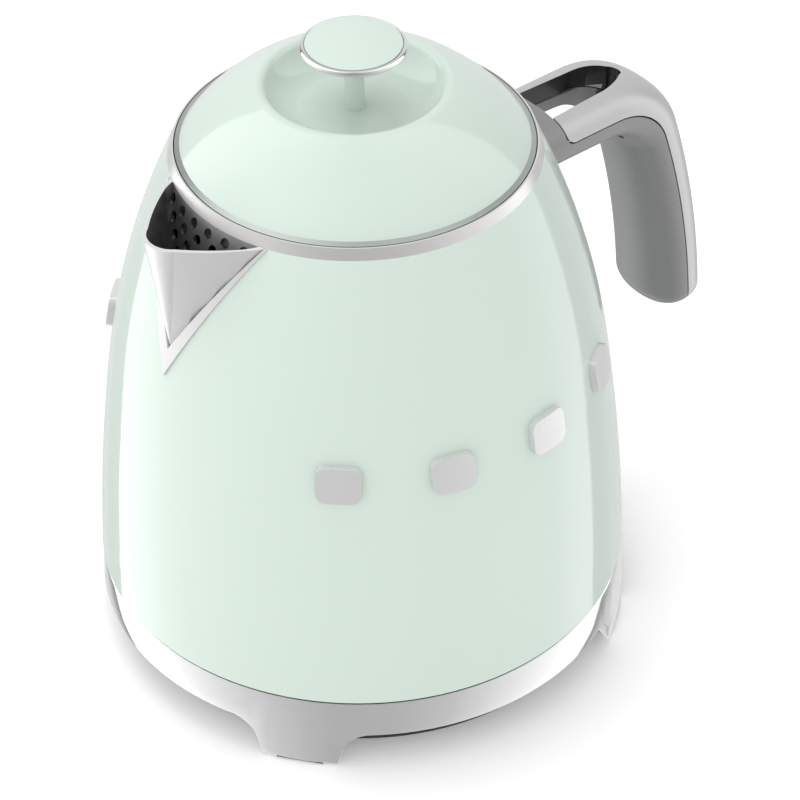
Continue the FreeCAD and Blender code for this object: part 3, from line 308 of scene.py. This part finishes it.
# %% Metals
def metal_finish(name, colour, roughness, stretch, scale, relief, metallic=1.0):
    metal = Finish(name, colour, Metallic=metallic, Roughness=roughness)
    grain = metal.noise(scale, 4, stretch=stretch)
    metal.set(Roughness=roughness * (0.8 + 0.4 * grain))
    darker = tuple(0.94 * c for c in colour)
    metal.set(Base_Color=metal.blend(grain, darker, colour))
    metal.bump(grain, relief, 0.0002)
    return metal.material


def spout_finish():
    """Satin outside; inside, a darker colour is painted shade for the dim light that comes in there."""
    steel = Finish("satin_steel", (0.80, 0.80, 0.80), Roughness=0.38)
    grain = steel.noise(500, 4, stretch=(1, 1, 6))
    inside = steel.inward()
    steel.set(
        # The darker inside colour is painted shade, not a different steel.
        Base_Color=steel.blend(inside, (0.80, 0.80, 0.80), (0.34, 0.34, 0.35)),
        Metallic=0.6 + 0.35 * inside,
        Roughness=0.30 + 0.15 * grain,
    )
    steel.bump(grain, 0.02, 0.0002)
    return steel.material


# %% Plastics and rubber
def moulded_finish(name, colour, roughness, relief, **constants):
    plastic = Finish(name, colour, Roughness=roughness, **constants)
    grain = plastic.noise(900, 3)
    plastic.set(Roughness=roughness * (0.85 + 0.3 * grain))
    lighter = tuple(min(1.0, 1.12 * c + 0.004) for c in colour)
    plastic.set(Base_Color=plastic.blend(plastic.noise(60, 2), colour, lighter))
    plastic.bump(grain, relief, 0.0001)
    return plastic.material


# %% One material for each slot of the record
finishes = {
    "paint": paint_finish("pastel_paint", False),
    "shell_paint": paint_finish("shell_paint", True),
    "cover_satin": metal_finish("cover_satin", (0.58, 0.58, 0.58), 0.42, (1, 1, 8), 300, 0.02, 0.6),
    "polished": metal_finish("polished_steel", (0.90, 0.90, 0.90), 0.06, (1, 1, 8), 200, 0.01),
    "brushed": metal_finish("brushed_steel", (0.78, 0.77, 0.765), 0.30, (1, 1, 40), 300, 0.03, 0.7),
    "stud_satin": metal_finish("stud_satin", (0.78, 0.78, 0.78), 0.28, (1, 1, 1), 30, 0.0, 0.5),
    "spout_steel": spout_finish(),
    "frame_satin": metal_finish("frame_satin", (0.74, 0.74, 0.74), 0.42, (1, 1, 6), 500, 0.01, 0.5),
    "grip": metal_finish("grip_lacquer", (0.30, 0.30, 0.30), 0.50, (1, 1, 1), 900, 0.02, 0.45),
    "lid_edge": metal_finish("lid_edge_satin", (0.52, 0.56, 0.53), 0.30, (1, 1, 30), 300, 0.03),
    "black_plastic": moulded_finish("black_plastic", (0.02, 0.02, 0.02), 0.5, 0.15),
    "inner_steel": metal_finish("inner_steel", (0.34, 0.34, 0.34), 0.30, (1, 1, 6), 400, 0.04),
    "aluminium": metal_finish("cast_aluminium", (0.66, 0.66, 0.67), 0.45, (1, 1, 1), 700, 0.2),
    "brass": metal_finish("contact_brass", (0.80, 0.60, 0.28), 0.25, (1, 1, 6), 400, 0.05),
    "rubber": moulded_finish("soft_rubber", (0.035, 0.035, 0.035), 0.8, 0.25),
    "liner": moulded_finish("liner_plastic", (0.55, 0.56, 0.55), 0.45, 0.1),
    "skirt_bright": metal_finish("skirt_bright", (0.93, 0.93, 0.93), 0.09, (1, 1, 8), 200, 0.01, 0.85),
    # Near-black painted shade for the fork slot's walls, which are steel mirroring dark surroundings.
    "slot_painted_shade": moulded_finish("slot_painted_shade", (0.015, 0.015, 0.016), 0.18, 0.02),
    "window": moulded_finish(
        "water_window", (0.60, 0.66, 0.66), 0.15, 0.02, Transmission_Weight=0.6, IOR=1.49,
    ),
}
for name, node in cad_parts.items():
    for position, material in enumerate(node.data.materials):
        node.data.materials[position] = finishes[material.name.split(".")[0]]
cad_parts["body_shell"].data.materials[0] = finishes["shell_paint"]
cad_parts["trim_studs"].data.materials[0] = finishes["stud_satin"]
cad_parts["spout_frame"].data.materials[0] = finishes["frame_satin"]
print("finishes:", ", ".join(sorted(finishes)))

# %% [markdown]
# ## Tools for finer pieces
# Outlines are short lists of corners, and an edge between two corners may be an arc with a radius. The same
# outline can be spun into a round piece or pushed through as a prism. Sizes are written in millimetres, the
# way a drawing gives them, and turned into metres when the mesh is made.

# %% Outlines with arcs
MM = 0.001


def arc_points(start, end, radius, side, steps):
    """Points after start up to end on an arc; side 1 bulges to the left of the way, -1 to the right."""
    way = end - start
    left = Vector((-way.y, way.x)).normalized()
    rise = math.sqrt(max(radius ** 2 - (way.length / 2) ** 2, 0.0))
    centre = (start + end) / 2 - left * rise * side
    spoke = start - centre
    sweep = -side * 2 * math.asin(min(1.0, way.length / 2 / radius))
    points = []
    for step in range(1, steps + 1):
        angle = sweep * step / steps
        turned_spoke = Vector((
            spoke.x * math.cos(angle) - spoke.y * math.sin(angle),
            spoke.x * math.sin(angle) + spoke.y * math.cos(angle),
        ))
        points.append(centre + turned_spoke)
    return points


def outline(corners, arcs, steps=24):
    """A closed outline in millimetres as points; arcs maps an edge's number to (radius, side)."""
    points = []
    for edge, corner in enumerate(corners):
        start, end = Vector(corner), Vector(corners[(edge + 1) % len(corners)])
        if edge in arcs:
            points += arc_points(start, end, *arcs[edge], steps)
        else:
            points.append(end)
    return points


# %% Pieces from meshes
SMOOTH_ANGLE = math.radians(35)


def shade(piece):
    """Smooth shading, except across sharp edges."""
    piece.data.shade_smooth()
    piece.data.set_sharp_from_angle(angle=SMOOTH_ANGLE)


def make_piece(name, shape, materials):
    """An object from a bmesh in metres, shaded smooth except across sharp edges."""
    bmesh.ops.recalc_face_normals(shape, faces=shape.faces)
    mesh = bpy.data.meshes.new(name)
    shape.to_mesh(mesh)
    shape.free()
    piece = bpy.data.objects.new(name, mesh)
    bpy.context.scene.collection.objects.link(piece)
    for material in materials:
        mesh.materials.append(finishes[material])
    shade(piece)
    return piece


def stand_for(piece, body, slot, *nodes):
    """The piece rides on a body and is shown in place of CAD nodes; the slot argument is not used."""
    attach(piece, body)
    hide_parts(*nodes)
    print(f"{piece.name}: {len(piece.data.polygons)} faces in place of {', '.join(nodes)}")


def prism(points, low, high, axis, flare=1.0):
    """A bmesh prism: an outline in mm from low to high along Y or Z; along Z, flare widens its low end."""
    shape = bmesh.new()
    ends = []
    for level, wide in ((low, flare), (high, 1.0)):
        if axis == "Y":
            ends.append([shape.verts.new((p.x * MM, level * MM, p.y * MM)) for p in points])
        else:
            ends.append([shape.verts.new((p.x * MM, p.y * wide * MM, level * MM)) for p in points])
    shape.faces.new(ends[0])
    shape.faces.new(ends[1][::-1])
    for number in range(len(points)):
        after = (number + 1) % len(points)
        shape.faces.new((ends[0][number], ends[0][after], ends[1][after], ends[1][number]))
    bmesh.ops.recalc_face_normals(shape, faces=shape.faces)
    return shape


def lathe(points, steps=144):
    """A bmesh of a round piece: an outline of (radius, height) in mm spun about the vertical axis."""
    shape = bmesh.new()
    rings = []
    for step in range(steps):
        angle = math.tau * step / steps
        rings.append([
            shape.verts.new((p.x * math.cos(angle) * MM, p.x * math.sin(angle) * MM, p.y * MM))
            for p in points
        ])
    for step, ring_verts in enumerate(rings):
        following = rings[(step + 1) % steps]
        for number in range(len(points)):
            after = (number + 1) % len(points)
            corners = ring_verts[number], ring_verts[after], following[after], following[number]
            shape.faces.new(corners)
    bmesh.ops.remove_doubles(shape, verts=shape.verts, dist=1e-7)
    bmesh.ops.recalc_face_normals(shape, faces=shape.faces)
    return shape


def carve(piece, tool_shape, operation):
    """Cut a piece with a scratch solid, and keep the result as the piece's own mesh."""
    scratch = bpy.data.meshes.new("scratch_tool")
    tool_shape.to_mesh(scratch)
    tool_shape.free()
    tool = bpy.data.objects.new("scratch_tool", scratch)
    bpy.context.scene.collection.objects.link(tool)
    cut = piece.modifiers.new("cut", "BOOLEAN")
    cut.operation = operation
    cut.solver = "EXACT"
    cut.object = tool
    bpy.context.view_layer.update()
    result = bpy.data.meshes.new_from_object(piece.evaluated_get(bpy.context.evaluated_depsgraph_get()))
    piece.modifiers.clear()
    piece.data = result
    bpy.data.objects.remove(tool)
    bpy.data.meshes.remove(scratch)


print("mesh helpers ready")

# %% [markdown]
# ## The handle
# In the picture the handle is one soft oval bar, with a bright cover over a grey grip. CAD holds it as a bar
# with rounded edges. Here rings of an oval are strung along the two profile curves, the outer face and the
# inner face, so the bar keeps its taper from arm to grip. The ovals are squarer underneath the arm, where it
# meets the body, and fuller on the grip. The bar is then parted along the seam.

# %% Profile of the handle
ARM_TOP, ARM_DEPTH, GRIP_DEPTH, HALF_WIDTH = 140.0, 14.0, 18.0, 14.0
BEND, BEND_RADIUS = Vector((83.8, 114.0)), 26.0
INNER_BEND, INNER_RADIUS = Vector((76.8, 110.0)), 16.0
GRIP_CENTRE, GRIP_RADIUS = Vector((-137.48, 37.8)), 260.0
LEAN, INNER_LEAN = math.radians(19.0), math.radians(18.63)
GRIP_END, GRIP_TIP = 60.0, 51.9
ARM_ROOT = 50.0
ARM_STEPS, BEND_STEPS, GRIP_STEPS, TIP_STEPS = 24, 32, 40, 16
OVAL_STEPS = 72
OUTER_FLATNESS, ARM_FLATNESS, GRIP_FLATNESS = 2.5, 3.6, 2.2


def spoke(centre, radius, angle):
    return centre + Vector((math.cos(angle), math.sin(angle))) * radius


def handle_stations():
    """Pairs of points on the outer and inner face, with how far along from arm (0) to grip (1) they are."""
    stations = []
    for step in range(ARM_STEPS):
        share = step / ARM_STEPS
        outer_x = ARM_ROOT + (BEND.x - ARM_ROOT) * share
        inner_x = ARM_ROOT + (INNER_BEND.x - ARM_ROOT) * share
        stations.append((Vector((outer_x, ARM_TOP)), Vector((inner_x, ARM_TOP - ARM_DEPTH)), 0.0))
    for step in range(BEND_STEPS):
        angle = math.pi / 2 + (LEAN - math.pi / 2) * step / BEND_STEPS
        inner_angle = math.pi / 2 + (INNER_LEAN - math.pi / 2) * step / BEND_STEPS
        outer = spoke(BEND, BEND_RADIUS, angle)
        inner = spoke(INNER_BEND, INNER_RADIUS, inner_angle)
        stations.append((outer, inner, step / BEND_STEPS))
    low = math.asin((GRIP_END - GRIP_CENTRE.y) / GRIP_RADIUS)
    for step in range(GRIP_STEPS):
        angle = LEAN + (low - LEAN) * step / GRIP_STEPS
        inner_angle = INNER_LEAN + (low - INNER_LEAN) * step / GRIP_STEPS
        outer = spoke(GRIP_CENTRE, GRIP_RADIUS, angle)
        inner = spoke(GRIP_CENTRE, GRIP_RADIUS - GRIP_DEPTH, inner_angle)
        stations.append((outer, inner, 1.0))
    outer = spoke(GRIP_CENTRE, GRIP_RADIUS, low)
    inner = spoke(GRIP_CENTRE, GRIP_RADIUS - GRIP_DEPTH, low)
    return stations, outer, inner


def oval(angle, flatness_out, flatness_in):
    """A point of a super-ellipse with half axes 1: x across the width, y towards the outer face."""
    across, out = math.cos(angle), math.sin(angle)
    flatness = flatness_out if out > 0 else flatness_in
    size = (abs(across) ** flatness + abs(out) ** flatness) ** (-1 / flatness)
    return across * size, out * size


# %% Rings strung along the profile
def handle_bar():
    """The whole bar as one closed bmesh, with a rounded tip at the foot of the grip."""
    stations, end_outer, end_inner = handle_stations()
    outward = (end_outer - end_inner).normalized()
    down = Vector((outward.y, -outward.x))
    cap_length = GRIP_END - GRIP_TIP
    rings = [(outer, inner, share, 1.0) for outer, inner, share in stations]
    for step in range(TIP_STEPS):
        angle = math.pi / 2 * step / TIP_STEPS
        shift = down * cap_length * math.sin(angle)
        rings.append((end_outer + shift, end_inner + shift, 1.0, math.cos(angle)))
    shape = bmesh.new()
    loops = []
    for outer, inner, share, scale in rings:
        middle, reach = (outer + inner) / 2, (outer - inner) / 2
        loop = []
        flatness_in = ARM_FLATNESS - (ARM_FLATNESS - GRIP_FLATNESS) * share
        for number in range(OVAL_STEPS):
            across, out = oval(math.tau * number / OVAL_STEPS, OUTER_FLATNESS, flatness_in)
            point = middle + reach * out * scale
            loop.append(shape.verts.new((point.x * MM, across * HALF_WIDTH * scale * MM, point.y * MM)))
        loops.append(loop)
    for first, second in zip(loops, loops[1:]):
        for number in range(OVAL_STEPS):
            after = (number + 1) % OVAL_STEPS
            shape.faces.new((first[number], first[after], second[after], second[number]))
    shape.faces.new(loops[0])
    tip = (end_outer + end_inner) / 2 + down * cap_length
    point = shape.verts.new((tip.x * MM, 0, tip.y * MM))
    for number in range(OVAL_STEPS):
        shape.faces.new((loops[-1][number], loops[-1][(number + 1) % OVAL_STEPS], point))
    return shape


# %% Seam and fork slot
SEAM_ARM, SEAM_GRIP, SEAM_BEND, SEAM_GAP = 6.5, 9.0, 20.0, 0.4
SEAM_FOOT, SEAM_CORNER = 40.0, 3.0
FORK_START, SLOT_SHOULDER, SLOT_END = 62.4, 80.0, 91.2
SLOT_ROOT_HALF, SLOT_SHOULDER_HALF, SLOT_END_HALF = 7.4, 6.6, 2.55
SLOT_SIDE_RADIUS, SLOT_END_RADIUS = 17.0, 2.6
SLOT_FOOT, SLOT_FLARE_TOP, SLOT_FLARE = 120.0, 133.0, 2.0
BODY_RADIUS, BODY_FOOT, BODY_TOP, BODY_CORE = 231.5, 90.0, 153.4, 20.0
BODY_FOOT_REACH, BODY_TOP_REACH = 68.15, 49.15
# Where the fork slot's walls get the painted shade: half width, far end, and how steep a face must be.
SHADED_SLOT_HALF, SHADED_SLOT_END, SHADED_SLOT_SLOPE = 7.45, 94.5, 0.2
CLEAR = 160.0
HALF_CUT = 20.0


def seam_space(gap):
    """Outline of the space above the seam, seen from the side; the gap moves its edge outward."""
    depth_arm, depth_grip = SEAM_ARM - gap, SEAM_GRIP - gap
    seam_radius = GRIP_RADIUS - depth_grip
    level = ARM_TOP - depth_arm - SEAM_BEND
    reach = seam_radius - SEAM_BEND
    centre_x = GRIP_CENTRE.x + math.sqrt(reach ** 2 - (level - GRIP_CENTRE.y) ** 2)
    bend_centre = Vector((centre_x, level))
    end = GRIP_CENTRE + (bend_centre - GRIP_CENTRE) * (seam_radius / reach)
    low = spoke(GRIP_CENTRE, seam_radius, math.asin((SEAM_FOOT - GRIP_CENTRE.y) / seam_radius))
    root, seam_top = FORK_START + gap, ARM_TOP - depth_arm
    return outline([
        (root, CLEAR), (CLEAR, CLEAR), (CLEAR, low.y), tuple(low), tuple(end),
        (centre_x, seam_top), (root + SEAM_CORNER, seam_top), (root, seam_top + SEAM_CORNER),
    ], {3: (seam_radius, -1), 4: (SEAM_BEND, -1), 6: (SEAM_CORNER, 1)}, steps=48)


def slot_outline():
    """The fork slot seen from above: it narrows slowly, and ends in a rounded point."""
    side = [
        (FORK_START, SLOT_ROOT_HALF), (SLOT_SHOULDER, SLOT_SHOULDER_HALF), (SLOT_END, SLOT_END_HALF),
    ]
    mirrored = [(x, -half) for x, half in side]
    flank, nose = (SLOT_SIDE_RADIUS, -1), (SLOT_END_RADIUS, -1)
    return outline(mirrored + side[::-1], {1: flank, 2: nose, 3: flank})


def body_outline():
    """The room the body takes, which the handle's root is shaped to."""
    return outline([
        (BODY_CORE, BODY_FOOT), (BODY_FOOT_REACH, BODY_FOOT), (BODY_TOP_REACH, BODY_TOP),
        (BODY_CORE, BODY_TOP),
    ], {1: (BODY_RADIUS, -1)})


def paint_slot_shade(piece):
    """The walls of the fork slot get the second material, a near-black painted shade standing in for the
    dark they would mirror.
    """
    for face in piece.data.polygons:
        centre = face.center / MM
        inside = abs(centre.y) < SHADED_SLOT_HALF and FORK_START < centre.x < SHADED_SLOT_END
        if inside and abs(face.normal.z) < SHADED_SLOT_SLOPE and centre.z > SLOT_FOOT:
            face.material_index = 1


HALVES = (
    (1, "handle_cover", "cover_satin", "polished", "INTERSECT"),
    (-1, "handle_grip", "grip", "grip", "DIFFERENCE"),
)
for side, name, finish, slot, operation in HALVES:
    piece = make_piece(name + "_skin", handle_bar(), [finish, "slot_painted_shade"])
    carve(piece, prism(slot_outline(), SLOT_FOOT, CLEAR, "Z"), "DIFFERENCE")
    carve(piece, prism(slot_outline(), SLOT_FOOT, SLOT_FLARE_TOP, "Z", SLOT_FLARE), "DIFFERENCE")
    carve(piece, prism(seam_space(side * SEAM_GAP / 2), -HALF_CUT, HALF_CUT, "Y"), operation)
    carve(piece, lathe(body_outline()), "DIFFERENCE")
    shade(piece)
    paint_slot_shade(piece)
    stand_for(piece, "kettle", slot, name)

# %% [markdown]
# ## Softened edges
# Pressed and cast metal never ends in a knife edge, and the bright line along the lower edge of the skirt
# and round the knob comes from that small rounding. The CAD faces are cut in triangles, so the flat ones
# are joined first, and then each sharp edge gets a narrow round.

# %% Rounded copies of skirt and knob ring
SHARP_ANGLE, FLAT_ANGLE = 30, 0.5
ROUND_STEPS = 3


def soften(node_name, body, slot, finish, width):
    """A copy of a CAD node whose sharp edges are rounded by a width in millimetres."""
    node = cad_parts[node_name]
    shape = bmesh.new()
    shape.from_mesh(node.data)
    shape.transform(node.matrix_world)
    bmesh.ops.remove_doubles(shape, verts=shape.verts, dist=1e-6)
    bmesh.ops.dissolve_limit(
        shape, angle_limit=math.radians(FLAT_ANGLE), verts=shape.verts, edges=shape.edges,
        delimit={"NORMAL"},
    )
    limit = math.radians(SHARP_ANGLE)
    sharp = [edge for edge in shape.edges if edge.is_manifold and edge.calc_face_angle(0) > limit]
    bmesh.ops.bevel(
        shape, geom=sharp, offset=width * MM, segments=ROUND_STEPS, profile=0.5, affect="EDGES",
        clamp_overlap=True,
    )
    piece = make_piece(node_name + "_soft", shape, [finish])
    stand_for(piece, body, slot, node_name)


soften("base_skirt", "root", "polished", "skirt_bright", 0.45)
soften("knob_ring", "lid", "polished", "polished", 0.3)
